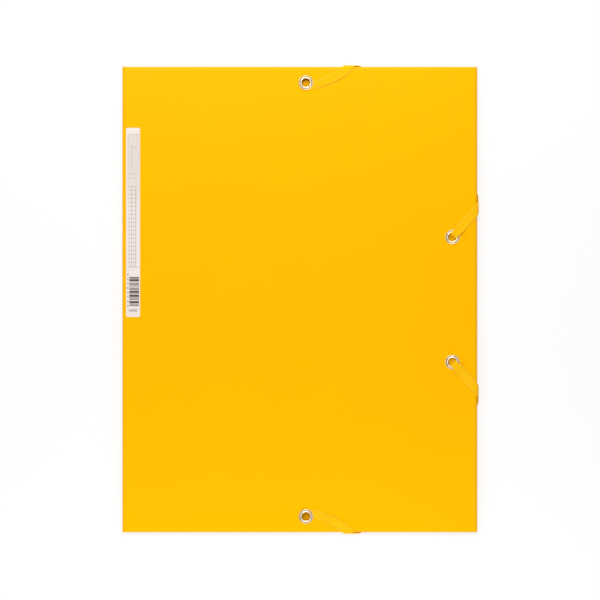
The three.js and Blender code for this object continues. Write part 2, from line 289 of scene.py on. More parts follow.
# Flat woven elastic, with painted highlight on its raised threads and painted shade in its grooves. Its
# own UV map holds the way along it in metres and the share across it.
weave = {
    "colour": linear(255, 195, 0),
    # groove: painted shade darkening the grooves between the ribs, also used for the random darker tone
    "groove": linear(236, 164, 0),
    # thread: painted highlight, a lighter colour on the raised threads where light catches the ribs
    "thread": linear(255, 216, 20),
    "pick": 0.52 * mm,
    "fuzz": (3800, 3.0, 0.6),
    "tone": (90, 2.0, 0.5),
    "grooveShadeRange": (0.05, 0.55),
    "grooveShadeShare": 0.75,
    "highlightRange": (0.35, 0.95),
    "highlightShare": 0.55,
    "toneRange": (0.4, 0.8),
    "toneShare": 0.15,
    "ribHeight": 0.5,
    "pickHeight": 0.35,
    "fuzzHeight": 0.15,
    "bump": (0.55, 0.18 * mm),
    "roughness": 0.62,
    "fuzzRough": 0.2,
    "specular": 0.1,
    "sheen": 0.05,
    "sheenRoughness": 0.4,
}


def elasticFinish():
    graph = materialGraph("yellow_woven_elastic")
    along, across = graph.parts(graph.add("ShaderNodeUVMap", {"uv_map": "weave"}))[:2]
    place = graph.add("ShaderNodeTexCoord", output="Object")
    rib = (across * (elastic["ribs"] * math.pi)).maths("SINE").maths("ABSOLUTE")
    offset = (across * elastic["ribs"]).maths("FLOOR") * 0.5
    picks = ((along / weave["pick"] + offset) * (2 * math.pi)).maths("SINE") * 0.5 + 0.5
    raised = picks * rib
    fuzz = graph.noise(place, *weave["fuzz"])
    tone = graph.noise(place, *weave["tone"])
    # Painted highlight: the raised threads are coloured lighter, as if lit
    lit = graph.smoothStep(raised, *weave["highlightRange"]) * weave["highlightShare"]
    base = graph.mixColour(lit, weave["colour"], weave["thread"])
    # Painted shade: the grooves between the ribs are coloured darker, where shade falls
    groove = (1 - graph.smoothStep(rib, *weave["grooveShadeRange"])) * weave["grooveShadeShare"]
    base = graph.mixColour(groove, base, weave["groove"])
    # Random darker tone, in the same colour as the painted groove shade
    toned = graph.smoothStep(tone, *weave["toneRange"]) * weave["toneShare"]
    base = graph.mixColour(toned, base, weave["groove"])
    height = rib * weave["ribHeight"] + raised * weave["pickHeight"] + fuzz * weave["fuzzHeight"]
    return graph.principled({
        "Base Color": base,
        "Roughness": weave["roughness"] + fuzz * weave["fuzzRough"],
        "Specular IOR Level": weave["specular"],
        "Sheen Weight": weave["sheen"],
        "Sheen Roughness": weave["sheenRoughness"],
        "Normal": graph.bump(height, *weave["bump"]),
    })


# The thicker thread that binds both selvages of the elastic. Its paler colour is a painted highlight,
# as if its loops catch the light.
edgeThread = {
    # colour: painted highlight, paler than the weave
    "colour": linear(255, 234, 104),
    "fuzz": (4200, 3.0, 0.6),
    "fuzzRange": (0.35, 0.75),
    "fuzzShare": 0.5,
    "bump": (0.4, 0.1 * mm),
    "roughness": 0.6,
    "fuzzRough": 0.2,
    "specular": 0.1,
}


def selvageFinish():
    graph = materialGraph("yellow_selvage_thread")
    place = graph.add("ShaderNodeTexCoord", output="Object")
    fuzz = graph.noise(place, *edgeThread["fuzz"])
    worn = graph.smoothStep(fuzz, *edgeThread["fuzzRange"]) * edgeThread["fuzzShare"]
    return graph.principled({
        "Base Color": graph.mixColour(worn, edgeThread["colour"], weave["colour"]),
        "Roughness": edgeThread["roughness"] + fuzz * edgeThread["fuzzRough"],
        "Specular IOR Level": edgeThread["specular"],
        "Normal": graph.bump(fuzz, *edgeThread["bump"]),
    })


# Nickel plate, turned: rougher in the groove between the two ridges and bright on their tops, with
# painted shade darkening the groove. The bore's mouth and wall are painted darker orange-brown: painted
# shade with painted orange light from the card.
# Its UV map holds the turn in U and the radius in V, as a share of mapReach. Radii are in mm.
nickel = {
    "colour": (0.72, 0.60, 0.41, 1),
    # The next colour is painted shade for the groove between the ridges
    "paintedGrooveShade": (0.21, 0.14, 0.075, 1),
    "cloud": (0.58, 0.45, 0.28, 1),
    # bore: painted shade with painted orange light from the card, on the bore's mouth and wall
    "bore": (0.60, 0.39, 0.15, 1),
    "mapReach": 10,
    "grain": (5200, 3.0, 0.6),
    "stain": (640, 3.0, 0.55),
    "markPitch": 41,
    "markWander": 3,
    "grooveRadius": 4.2,
    "grooveWander": 0.25,
    "grooveShadeRange": (0.05, 0.5),
    "mouthRange": (2.95, 3.15),
    "cloudRange": (0.4, 0.75),
    "cloudShare": 0.6,
    "paintedGrooveShadeShare": 0.85,
    "roughness": 0.2,
    "dullRough": 0.25,
    "grainRough": 0.06,
    "markRough": 0.05,
    "bump": (0.08, 0.04 * mm),
}


def nickelFinish():
    graph = materialGraph("turned_nickel")
    place = graph.add("ShaderNodeTexCoord", output="Object")
    radius = graph.parts(graph.add("ShaderNodeUVMap", {"uv_map": "turned"}))[1] * nickel["mapReach"]
    grain = graph.noise(place, *nickel["grain"])
    stain = graph.noise(place, *nickel["stain"])
    marks = (radius * nickel["markPitch"] + grain * nickel["markWander"]).maths("SINE") * 0.5 + 0.5
    away = (radius - nickel["grooveRadius"]).maths("ABSOLUTE") + (stain - 0.5) * nickel["grooveWander"]
    mouth = 1 - graph.smoothStep(radius, *nickel["mouthRange"])
    # Painted shade: the groove between the ridges is coloured darker, and it is also made rougher
    grooveShadeAndDull = (1 - graph.smoothStep(away, *nickel["grooveShadeRange"])) * (1 - mouth)
    clouded = graph.smoothStep(stain, *nickel["cloudRange"]) * nickel["cloudShare"]
    base = graph.mixColour(clouded, nickel["colour"], nickel["cloud"])
    base = graph.mixColour(grooveShadeAndDull * nickel["paintedGrooveShadeShare"], base, nickel["paintedGrooveShade"])
    # Painted shade with painted orange light from the card: the bore's mouth and wall are coloured
    # darker orange-brown
    base = graph.mixColour(mouth, base, nickel["bore"])
    uneven = (grain - 0.5) * nickel["grainRough"] + marks * nickel["markRough"]
    return graph.principled({
        "Base Color": base,
        "Metallic": 1.0,
        "Roughness": nickel["roughness"] + grooveShadeAndDull * nickel["dullRough"] + uneven,
        "Normal": graph.bump(grain * 0.5 + marks * 0.5, *nickel["bump"]),
    })


# Matt label paper with a plain printed form: rules, a small grid and a block of bars.
# Places are in mm, across from the label's spine side and down from its top.
label = {
    "paper": linear(235, 223, 217),
    "warm": linear(229, 215, 208),
    "header": linear(232, 222, 212),
    "panel": linear(211, 200, 191),
    "ink": linear(162, 150, 146),
    "barInk": linear(52, 34, 28),
    "printAcross": (2.1, 7.6),
    "rule": 0.42,
    "rules": (  # place down, left, right, strength
        (4.6, 2.1, 9.6, 0.9),
        (13.4, 4.8, 7.6, 1.0),
        (31.6, 2.1, 7.6, 0.7),
        (34.5, 2.1, 7.6, 0.7),
        (95.9, 2.1, 9.6, 0.5),
    ),
    "strokes": (  # place across, top, bottom, strength
        (3.8, 11, 28, 0.55),
        (9.0, 8, 25, 0.35),
        (1.6, 3, 128, 0.3),
        (2.2, 60, 95.3, 0.6),
        (5.3, 60, 95.3, 0.5),
    ),
    "grid": {
        "top": 40.3,
        "step": 2.75,
        "rows": 20,
        "columns": (3.8, 6.6),
        "margin": 0.3,
        "strength": 0.8,
    },
    "block": (124.6, 126.4, 0.9),  # top, bottom, strength
    "bars": {
        "top": 102.2,
        "bottom": 123.0,
        "right": 8.9,
        "inset": 0.2,
        "tint": 0.3,
        "strength": 0.96,
        "seed": 7,
        "widths": (0.022, 0.022, 0.045, 0.068),  # widths and gaps are shares of the bars' height
        "gaps": (0.022, 0.03, 0.05),
        "from": 0.02,
        "until": 0.95,
        "end": 0.985,
        "rampStops": 31,
    },
    "ticks": {"step": 3.1, "share": (0.35, 0.72), "across": (0.9, 1.55), "lead": 2, "strength": 0.75},
    "headerDepth": 4.6,
    "headerShare": 0.8,
    "panelFade": (20, 75),
    "panelAcross": (0.8, 9.2),
    "panelShare": 0.7,
    "grain": (2400, 4.0, 0.65),
    "grainRange": (0.4, 0.8),
    "grainShare": 0.2,
    "stain": (55, 2.0, 0.5),
    "stainRange": (0.35, 0.75),
    "stainShare": 0.6,
    "inkShare": 0.62,
    "inkGrain": 0.3,
    "bump": (0.2, 0.06 * mm),
    "roughness": 0.58,
    "grainRough": 0.2,
    "specular": 0.3,
}


# Dark bars of made-up widths, as the stops of a colour ramp
def barStops():
    bars = label["bars"]
    chance = random.Random(bars["seed"])
    stops = [(0.0, grey(0))]
    edge = bars["from"]
    while edge < bars["until"]:
        wide = chance.choice(bars["widths"])
        stops.append((edge, grey(1)))
        stops.append((min(edge + wide, bars["end"]), grey(0)))
        edge += wide + chance.choice(bars["gaps"])
    return {"interpolation": "CONSTANT", "points": stops[:bars["rampStops"]]}


def labelFinish():
    graph = materialGraph("printed_label_paper")
    place = graph.add("ShaderNodeTexCoord", output="Object")
    fromSpine, fromFoot = graph.parts(place)[:2]
    across = (fromSpine - labelLow.x) / mm
    down = (labelHigh.y - fromFoot) / mm
    grain = graph.noise(place, *label["grain"])
    stain = graph.noise(place, *label["stain"])
    half = label["rule"] / 2
    left, right = label["printAcross"]
    grid, bars, ticks = label["grid"], label["bars"], label["ticks"]

    def within(value, low, high):
        return (value > low) * (value < high)

    def area(top, bottom, start, end):
        return within(down, top, bottom) * within(across, start, end)

    def rule(middle, start, end, strength):
        return area(middle - half, middle + half, start, end) * strength

    def stroke(middle, top, bottom, strength):
        return area(top, bottom, middle - half, middle + half) * strength

    marks = [rule(*line) for line in label["rules"]] + [stroke(*line) for line in label["strokes"]]
    gridTop, gridBottom = grid["top"], grid["top"] + grid["step"] * grid["rows"]
    rowPhase = ((down - gridTop) / grid["step"] + 0.5).maths("FRACT")
    gridRows = within(rowPhase, 0.5 - half / grid["step"], 0.5 + half / grid["step"])
    gridArea = area(gridTop - grid["margin"], gridBottom + grid["margin"], left, right)
    marks.append(gridRows * gridArea * grid["strength"])
    marks += [stroke(column, gridTop, gridBottom, grid["strength"]) for column in grid["columns"]]
    top, bottom, strength = label["block"]
    marks.append(area(top, bottom, left, right) * strength)
    lines = sum(marks[1:], marks[0]).maths("MINIMUM", 1.0)

    barShare = (down - bars["top"]) / (bars["bottom"] - bars["top"])
    code = graph.add("ShaderNodeValToRGB", {"stops": barStops()}, {"Fac": barShare})
    barMask = code * area(bars["top"], bars["bottom"], left + bars["inset"], bars["right"])
    tickPhase = ((down - bars["top"]) / ticks["step"]).maths("FRACT")
    tickArea = area(bars["top"] - ticks["lead"], bars["bottom"], *ticks["across"])
    tickMask = within(tickPhase, *ticks["share"]) * tickArea * ticks["strength"]

    stained = graph.smoothStep(stain, *label["stainRange"]) * label["stainShare"]
    paper = graph.mixColour(stained, label["paper"], label["warm"])
    grained = graph.smoothStep(grain, *label["grainRange"]) * label["grainShare"]
    paper = graph.mixColour(grained, paper, label["warm"])
    header = within(down, 0, label["headerDepth"]) * label["headerShare"]
    paper = graph.mixColour(header, paper, label["header"])
    fade = (down > label["headerDepth"]) * (1 - graph.smoothStep(down, *label["panelFade"]))
    panel = fade * within(across, *label["panelAcross"]) * label["panelShare"]
    paper = graph.mixColour(panel, paper, label["panel"])
    ink = lines * (label["inkShare"] + grain * label["inkGrain"])
    base = graph.mixColour(ink, paper, label["ink"])
    tint = area(bars["top"], bars["bottom"], left, bars["right"]) * bars["tint"]
    base = graph.mixColour(tint, base, label["ink"])
    dark = (barMask + tickMask).maths("MINIMUM", 1.0) * bars["strength"]
    base = graph.mixColour(dark, base, label["barInk"])
    return graph.principled({
        "Base Color": base,
        "Roughness": label["roughness"] + (grain - 0.5) * label["grainRough"],
        "Specular IOR Level": label["specular"],
        "Normal": graph.bump(grain, *label["bump"]),
    })


# The elastic: one band from clamp to clamp, straight on the unfolded card over both edges
elastic = {
    "width": 6.0 * mm,
    "clampedWidth": 4.5 * mm,
    "thickness": 0.7 * mm,
    "clearance": 0.1 * mm,
    "pinched": 0.4 * mm,
    "ribs": 11,
    "pointsPerRib": 4,
    "ribDepth": 0.2,
    "endCrossing": 32 * mm,
    "passageOffset": 0.8 * mm,
    "approach": 6 * mm,
    "clampDrop": 2.6 * mm,
    "clampSlope": 0.04,
    "curveReach": 8 * mm,
    "edgeReach": 8 * mm,
    "spread": 20 * mm,
    "gatherReach": 2 * mm,
    "edgePower": 14,
    "steps": {"head": 44, "fold": 14, "edge": 10, "corner": 40, "climb": 34, "bore": 32, "inside": 14},
}

eyelet = {
    "bore": 2.9 * mm,
    "wall": 0.35 * mm,
    "barrelFit": 3.4 * mm,
    "barrelReach": 8 * mm,
    "barrelSegments": 72,
    "flange": 5 * mm,
    "flangeHeight": 0.9 * mm,
    "lip": 4.4 * mm,
    "lipHeight": 0.7 * mm,
    "lipSteps": 15,
    "segments": 96,
    "crownSteps": 4,
    # The flange's section, in walls inwards from its rim and shares of its height
    "crown": (
        (0.5, 0), (0.05, 0.12), (0, 0.3), (0.35, 0.6), (1.0, 0.76), (1.65, 0.62),
        (2.05, 0.34), (2.45, 0.32), (2.95, 0.56), (3.9, 0.86), (4.7, 0.97),
    ),
    # The last of it, in walls outwards from the bore
    "mouth": ((0.5, 0.9), (0.1, 0.68), (0, 0.4)),
}


def middleOf(node):
    low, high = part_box(node)
    return (low + high) / 2


headEyelet = middleOf("eyelet_head")
footEyelet = middleOf("eyelet_foot")
sideEyelet = middleOf("eyelet_side_upper")


def mix(a, b, share):
    return a + (b - a) * share


def smooth(value, low, high):
    share = min(1.0, max(0.0, (value - low) / (high - low)))
    return share * share * (3 - 2 * share)


# The way round one edge, in a plane across it: round the fold, down, and round under the cover
def edgeWrap(coverEdge, foldRadius):
    steps = elastic["steps"]
    layer = elastic["clearance"] + elastic["thickness"] / 2
    centre = coverEdge - foldRadius
    stations = []
    length = 0.0

    def arc(outward, z, radius, start, count):
        nonlocal length
        for step in range(count + 1):
            turn = start - math.pi / 2 * step / count
            away = (math.cos(turn), math.sin(turn))
            travelled = length + radius * math.pi / 2 * step / count
            stations.append((travelled, outward + radius * away[0], z + radius * away[1], away))
        length += radius * math.pi / 2

    arc(centre, panelZ - foldRadius, foldRadius + layer, math.pi / 2, steps["fold"])
    length += panelZ - foldRadius - coverZ
    arc(coverEdge, coverZ, layer, 0, steps["edge"])
    return {"stations": stations, "length": length, "back": centre, "front": coverEdge}


def bezier(points, share):
    a, b, c, d = points
    rest = 1 - share
    place = a * rest**3 + b * 3 * rest**2 * share + c * 3 * rest * share**2 + d * share**3
    slope = (b - a) * 3 * rest**2 + (c - b) * 6 * rest * share + (d - c) * 3 * share**2
    return place, math.atan2(slope.y, slope.x)


def elasticRows():
    head = edgeWrap(coverHigh.y, endFoldRadius)
    side = edgeWrap(coverHigh.x, sideFoldRadius)
    halfWidth = elastic["width"] / 2
    half = elastic["thickness"] / 2
    backZ = panelZ + elastic["clearance"] + half
    frontZ = half
    up = Vector((0, 0, 1))
    crossing = folderX + elastic["endCrossing"]
    rows = []

    def row(x, y, z, angle, reach, normal, thick):
        across = Vector((math.cos(angle), math.sin(angle), 0)) * reach
        middle = Vector((x, y, z))
        rows.append((middle + across, middle - across, Vector(normal), thick))

    spanX = side["front"] - crossing + side["length"] + side["back"] - sideEyelet.x
    spanY = head["length"] + head["front"] - sideEyelet.y
    slant = math.atan2(spanY, spanX)

    # Out of the clamp and up to the head edge
    clamp = Vector((headEyelet.x, headEyelet.y - elastic["clampDrop"]))
    slope = Vector((math.cos(elastic["clampSlope"]), math.sin(elastic["clampSlope"])))
    end = Vector((crossing, head["back"]))
    curve = (
        clamp,
        clamp + slope * elastic["curveReach"],
        end - Vector((math.cos(slant), math.sin(slant))) * elastic["edgeReach"],
        end,
    )
    release = eyelet["flange"] + halfWidth / 2
    steps = elastic["steps"]["head"]
    for step in range(steps):
        share = step / steps
        place, heading = bezier(curve, share)
        angle = mix(math.pi / 2 + elastic["clampSlope"], math.pi, share)
        away = (place - headEyelet.xy).length
        freed = smooth(away, release, release + elastic["approach"])
        z = mix(panelZ + elastic["pinched"] / 2, backZ, freed)
        thick = mix(elastic["pinched"] / 2, half, freed)
        spread = smooth(away, eyelet["flange"], eyelet["flange"] + elastic["spread"])
        wide = mix(elastic["clampedWidth"] / 2, halfWidth, spread)
        row(place.x, place.y, z, angle, wide / math.sin(angle - heading), up, thick)

    # Over the head edge
    for length, outward, z, away in head["stations"]:
        x = crossing + length / math.tan(slant)
        row(x, outward, z, math.pi, halfWidth / math.sin(slant), (0, *away), half)

    # Across the corner of the front cover
    startX = crossing + head["length"] / math.tan(slant)
    runX = side["front"] - startX
    steps = elastic["steps"]["corner"]
    for step in range(1, steps):
        share = step / steps
        angle = mix(math.pi, 1.5 * math.pi, share)
        x = startX + runX * share
        y = head["front"] - runX * share * math.tan(slant)
        row(x, y, frontZ, angle, halfWidth / abs(math.sin(angle + slant)), -up, half)

    # Over the opening edge, on to the back
    sideY = head["front"] - runX * math.tan(slant)
    for length, outward, z, away in reversed(side["stations"]):
        y = sideY - (side["length"] - length) * math.tan(slant)
        row(outward, y, z, 1.5 * math.pi, halfWidth / math.cos(slant), (away[0], 0, away[1]), half)

    # Up on to the side eyelet's flange, and narrower to fit its bore
    topZ = panelZ + eyelet["flangeHeight"] + elastic["clearance"] + half
    lowZ = panelZ - cardThickness - eyelet["lipHeight"] - elastic["clearance"] - half
    bend = (topZ - lowZ) / 2
    clear = eyelet["bore"] - elastic["clearance"]
    narrowHalf = math.sqrt(clear**2 - (elastic["passageOffset"] + half) ** 2)
    backY = sideY - side["length"] * math.tan(slant)
    backRun = math.hypot(side["back"] - sideEyelet.x, backY - sideEyelet.y)
    passageStart = elastic["passageOffset"] + bend
    climbEnd = eyelet["flange"] + elastic["thickness"]
    steps = elastic["steps"]["climb"]
    for step in range(1, steps):
        share = step / steps
        toEyelet = mix(backRun, passageStart, share)
        angle = 1.5 * math.pi + slant * min(1.0, 2 * share)
        climb = 1 - smooth(toEyelet, climbEnd, climbEnd + elastic["approach"])
        gather = 1 - smooth(toEyelet, passageStart, eyelet["flange"] + elastic["gatherReach"])
        narrow = mix(halfWidth, narrowHalf, gather)
        x = sideEyelet.x + toEyelet * math.cos(slant)
        y = sideEyelet.y + toEyelet * math.sin(slant)
        reach = narrow / math.sin(angle - slant - math.pi)
        row(x, y, mix(backZ, topZ, climb), angle, reach, up, half)

    # Down through the bore, turning to run along the inside of the panel
    x = sideEyelet.x + passageStart * math.cos(slant)
    y = sideEyelet.y + passageStart * math.sin(slant)
    z = topZ
    steps = elastic["steps"]["bore"]
    stride = math.pi * bend / steps

    def passage(share):
        pitch = math.pi / 2 * (1 - abs(1 - 2 * share))
        heading = mix(math.pi + slant, 1.5 * math.pi, max(0.0, 2 * share - 1))
        return pitch, heading

    for step in range(steps + 1):
        pitch, heading = passage(step / steps)
        forward = Vector((math.cos(heading), math.sin(heading), 0))
        normal = forward * math.sin(pitch) + up * math.cos(pitch)
        row(x, y, z, heading + math.pi / 2, narrowHalf, normal, half)
        if step < steps:
            pitch, heading = passage((step + 0.5) / steps)
            x += stride * math.cos(pitch) * math.cos(heading)
            y += stride * math.cos(pitch) * math.sin(heading)
            z -= stride * math.sin(pitch)

    # Along the inside, to half way between the two side eyelets
    steps = elastic["steps"]["inside"]
    startY = y
    for step in range(1, steps + 1):
        y = mix(startY, 0, (step / steps) ** 2)
        widen = smooth(startY - y, 0, elastic["approach"])
        row(x, y, lowZ, 2 * math.pi, mix(narrowHalf, halfWidth, widen), up, half)
    return rows


def mirrored(rows):
    flip = Vector((1, -1, 1))
    return [
        (left * flip, right * flip, normal * flip, thick)
        for left, right, normal, thick in reversed(rows[:-1])]


def meshObject(name, vertices, faces, material):
    mesh = bpy.data.meshes.new(name)
    mesh.from_pydata(vertices, [], faces)
    mesh.materials.append(material)
    mesh.update()
    made = bpy.data.objects.new(name, mesh)
    bpy.context.scene.collection.objects.link(made)
    return made


# The live modifiers of a piece, turned to plain mesh
def plainMesh(piece):
    bpy.context.view_layer.update()
    ready = piece.evaluated_get(bpy.context.evaluated_depsgraph_get())
    return bpy.data.meshes.new_from_object(ready)


def makeElastic(material):
    upper = elasticRows()
    rows = upper + mirrored(upper)
    points = elastic["ribs"] * elastic["pointsPerRib"]
    shares = [2 * index / points - 1 for index in range(points + 1)]
    vertices = []
    uvs = []
    length = 0.0
    last = None
    for left, right, normal, thick in rows:
        middle = (left + right) / 2
        if last is not None:
            length += (middle - last).length
        last = middle
        for side in (1, -1):
            for share in shares if side == 1 else reversed(shares):
                rib = abs(math.sin(math.pi * elastic["ribs"] * (share + 1) / 2))
                crown = 1 - elastic["ribDepth"] * (1 - rib)
                edge = math.sqrt(max(0.0, 1 - abs(share) ** elastic["edgePower"])) * 0.5 + 0.5
                point = right.lerp(left, (share + 1) / 2) + normal * (side * thick * crown * edge)
                vertices.append(point)
                uvs.append((length, (share + 1) / 2))
    print("stage: elastic", round(length / mm), "mm from clamp to clamp")
    ring = 2 * (points + 1)
    faces = []
    for near in range(len(rows) - 1):
        for index in range(ring):
            a = near * ring + index
            b = near * ring + (index + 1) % ring
            faces.append((a, a + ring, b + ring, b))
    faces.append(tuple(range(ring)))
    faces.append(tuple(reversed(range((len(rows) - 1) * ring, len(rows) * ring))))
    band = meshObject("elastic_weave", vertices, faces, material)
    mesh = band.data
    layer = mesh.uv_layers.new(name="weave")
    for loop in mesh.loops:
        layer.data[loop.index].uv = uvs[loop.vertex_index]
    tidyNormals(mesh)
    trimAtBarrels(band)
    return band, rows


# The clamped ends of the elastic stop at the barrels of the head and foot eyelets
def trimAtBarrels(band):
    for node in ("eyelet_head", "eyelet_foot"):
        work = bmesh.new()
        bmesh.ops.create_cone(
            work, cap_ends=True, segments=eyelet["barrelSegments"],
            radius1=eyelet["barrelFit"], radius2=eyelet["barrelFit"], depth=eyelet["barrelReach"])
        bmesh.ops.translate(work, verts=work.verts, vec=middleOf(node))
        mesh = bpy.data.meshes.new("barrel_cutter")
        work.to_mesh(mesh)
        work.free()
        cutter = bpy.data.objects.new("barrel_cutter", mesh)
        bpy.context.scene.collection.objects.link(cutter)
        cut = band.modifiers.new("barrel", "BOOLEAN")
        cut.object = cutter
        cut.operation = "DIFFERENCE"
        cut.solver = "EXACT"
        trimmed = plainMesh(band)
        band.modifiers.clear()
        band.data = trimmed
        bpy.data.objects.remove(cutter)
    tidyNormals(band.data)


def tidyNormals(mesh):
    work = bmesh.new()
    work.from_mesh(mesh)
    bmesh.ops.recalc_face_normals(work, faces=work.faces)
    work.to_mesh(mesh)
    work.free()
    mesh.polygons.foreach_set("use_smooth", [True] * len(mesh.polygons))
    mesh.set_sharp_from_angle(angle=sharpAngle)
    mesh.update()


# A node's own shape with its corners merged, so that its flat faces shade as flat
def copyOfNode(name, node, material):
    work = bmesh.new()
    work.from_mesh(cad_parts[node].data)
    bmesh.ops.remove_doubles(work, verts=work.verts, dist=mergeDistance)
    mesh = bpy.data.meshes.new(name)
    work.to_mesh(mesh)
    work.free()
    mesh.materials.clear()
    mesh.materials.append(material)
    mesh.polygons.foreach_set("use_smooth", [True] * len(mesh.polygons))
    mesh.set_sharp_from_angle(angle=card["creaseAngle"])
    made = bpy.data.objects.new(name, mesh)
    bpy.context.scene.collection.objects.link(made)
    weighted = made.modifiers.new("flatFaces", "WEIGHTED_NORMAL")
    weighted.weight = 100
    weighted.keep_sharp = True
    return made


# One eyelet, turned from its section: flange outside, barrel, rolled lip inside
def makeEyelet(name, node, material):
    middle = middleOf(node)
    low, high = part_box(node)
    seat = high.z - eyelet["flangeHeight"]
    inner = panelZ - cardThickness
    bore, wall, flange, lip = eyelet["bore"], eyelet["wall"], eyelet["flange"], eyelet["lip"]
    barrel = bore + wall
    tall = eyelet["flangeHeight"]
    crown = [(flange - walls * wall, seat + share * tall) for walls, share in eyelet["crown"]]
    crown += [(bore + walls * wall, seat + share * tall) for walls, share in eyelet["mouth"]]
    profile = smoothLine(crown, eyelet["crownSteps"])
    profile.append((bore, inner))
    for step in range(1, eyelet["lipSteps"]):
        turn = math.pi + math.pi * step / eyelet["lipSteps"]
        profile.append((
            (bore + lip) / 2 + (lip - bore) / 2 * math.cos(turn),
            inner + eyelet["lipHeight"] * math.sin(turn)))
    profile += [(lip, inner), (barrel, inner), (barrel, seat)]
    vertices = []
    faces = []
    count = len(profile)
    for segment in range(eyelet["segments"]):
        angle = 2 * math.pi * segment / eyelet["segments"]
        for radius, z in profile:
            x = middle.x + radius * math.cos(angle)
            y = middle.y + radius * math.sin(angle)
            vertices.append((x, y, z))
        following = (segment + 1) % eyelet["segments"]
        for index in range(count):
            after = (index + 1) % count
            faces.append((
                segment * count + index, segment * count + after,
                following * count + after, following * count + index))
    ring = meshObject(name, vertices, faces, material)
    turned = ring.data.uv_layers.new(name="turned")
    for loop in ring.data.loops:
        segment, index = divmod(loop.vertex_index, count)
        radius = profile[index][0] / mm
        turned.data[loop.index].uv = (segment / eyelet["segments"], radius / nickel["mapReach"])
    tidyNormals(ring.data)
    return ring


def between(p, q, r, s, t):
    bend = 2 * p - 5 * q + 4 * r - s
    twist = 3 * q - p - 3 * r + s
    return 0.5 * (2 * q + (r - p) * t + bend * t * t + twist * t**3)


# A smooth curve through all the points, with so many steps between two of them
def smoothLine(points, steps):
    line = []
    last = len(points) - 1
    for index in range(last):
        a, b = points[max(index - 1, 0)], points[index]
        c, d = points[index + 1], points[min(index + 2, last)]
        for step in range(steps):
            t = step / steps
            line.append(tuple(between(*four, t) for four in zip(a, b, c, d)))
    line.append(points[-1])
    return line


# Loops of weft thread along both selvages of the elastic
selvage = {
    "spacing": 1.3 * mm,
    "length": 0.85 * mm,
    "radius": 0.26 * mm,
    "vary": (0.85, 1.15),
    "seed": 3,
    "inset": 0.012,
    "ballSegments": 6,
    "ballRings": 4,
}


def selvageTree(material):
    tree = bpy.data.node_groups.new("selvage_loops", "GeometryNodeTree")
    face = tree.interface
    face.new_socket("Geometry", in_out="INPUT", socket_type="NodeSocketGeometry")
    sockets = {}
    for name, kind, value in (
        ("Loop spacing", "NodeSocketFloat", selvage["spacing"]),
        ("Loop length", "NodeSocketFloat", selvage["length"]),
        ("Loop radius", "NodeSocketFloat", selvage["radius"]),
        ("Seed", "NodeSocketInt", selvage["seed"]),
    ):
        socket = face.new_socket(name, in_out="INPUT", socket_type=kind)
        socket.default_value = value
        sockets[name] = socket.identifier
    face.new_socket("Geometry", in_out="OUTPUT", socket_type="NodeSocketGeometry")
    nodes, link = tree.nodes, tree.links.new

    def add(kind, **settings):
        node = nodes.new(kind)
        for key, setting in settings.items():
            setattr(node, key, setting)
        return node

    given = add("NodeGroupInput")
    result = add("NodeGroupOutput")
    toCurve = add("GeometryNodeMeshToCurve")
    resample = add("GeometryNodeResampleCurve", mode="LENGTH")
    ball = add("GeometryNodeMeshUVSphere")
    ball.inputs["Segments"].default_value = selvage["ballSegments"]
    ball.inputs["Rings"].default_value = selvage["ballRings"]
    ball.inputs["Radius"].default_value = 1.0
    place = add("GeometryNodeInstanceOnPoints")
    tangent = add("GeometryNodeInputTangent")
    align = add("FunctionNodeAlignEulerToVector", axis="X")
    size = add("ShaderNodeCombineXYZ")
    vary = add("FunctionNodeRandomValue", data_type="FLOAT")
    vary.inputs[2].default_value, vary.inputs[3].default_value = selvage["vary"]
    scale = add("ShaderNodeVectorMath", operation="SCALE")
    halve = add("ShaderNodeMath", operation="MULTIPLY")
    halve.inputs[1].default_value = 0.5
    realize = add("GeometryNodeRealizeInstances")
    shade = add("GeometryNodeSetShadeSmooth")
    paint = add("GeometryNodeSetMaterial")
    paint.inputs["Material"].default_value = material
    link(given.outputs["Geometry"], toCurve.inputs["Mesh"])
    link(toCurve.outputs["Curve"], resample.inputs["Curve"])
    link(given.outputs["Loop spacing"], resample.inputs["Length"])
    link(resample.outputs["Curve"], place.inputs["Points"])
    link(ball.outputs["Mesh"], place.inputs["Instance"])
    link(tangent.outputs[0], align.inputs["Vector"])
    link(align.outputs[0], place.inputs["Rotation"])
    link(given.outputs["Loop length"], halve.inputs[0])
    link(halve.outputs[0], size.inputs[0])
    link(given.outputs["Loop radius"], size.inputs[1])
    link(given.outputs["Loop radius"], size.inputs[2])
    link(given.outputs["Seed"], vary.inputs["Seed"])
    link(size.outputs[0], scale.inputs[0])
    link(vary.outputs[1], scale.inputs["Scale"])
    link(scale.outputs[0], place.inputs["Scale"])
    link(place.outputs["Instances"], realize.inputs["Geometry"])
    link(realize.outputs["Geometry"], shade.inputs["Geometry"])
    link(shade.outputs["Geometry"], paint.inputs["Geometry"])
    link(paint.outputs["Geometry"], result.inputs["Geometry"])
    return tree, sockets


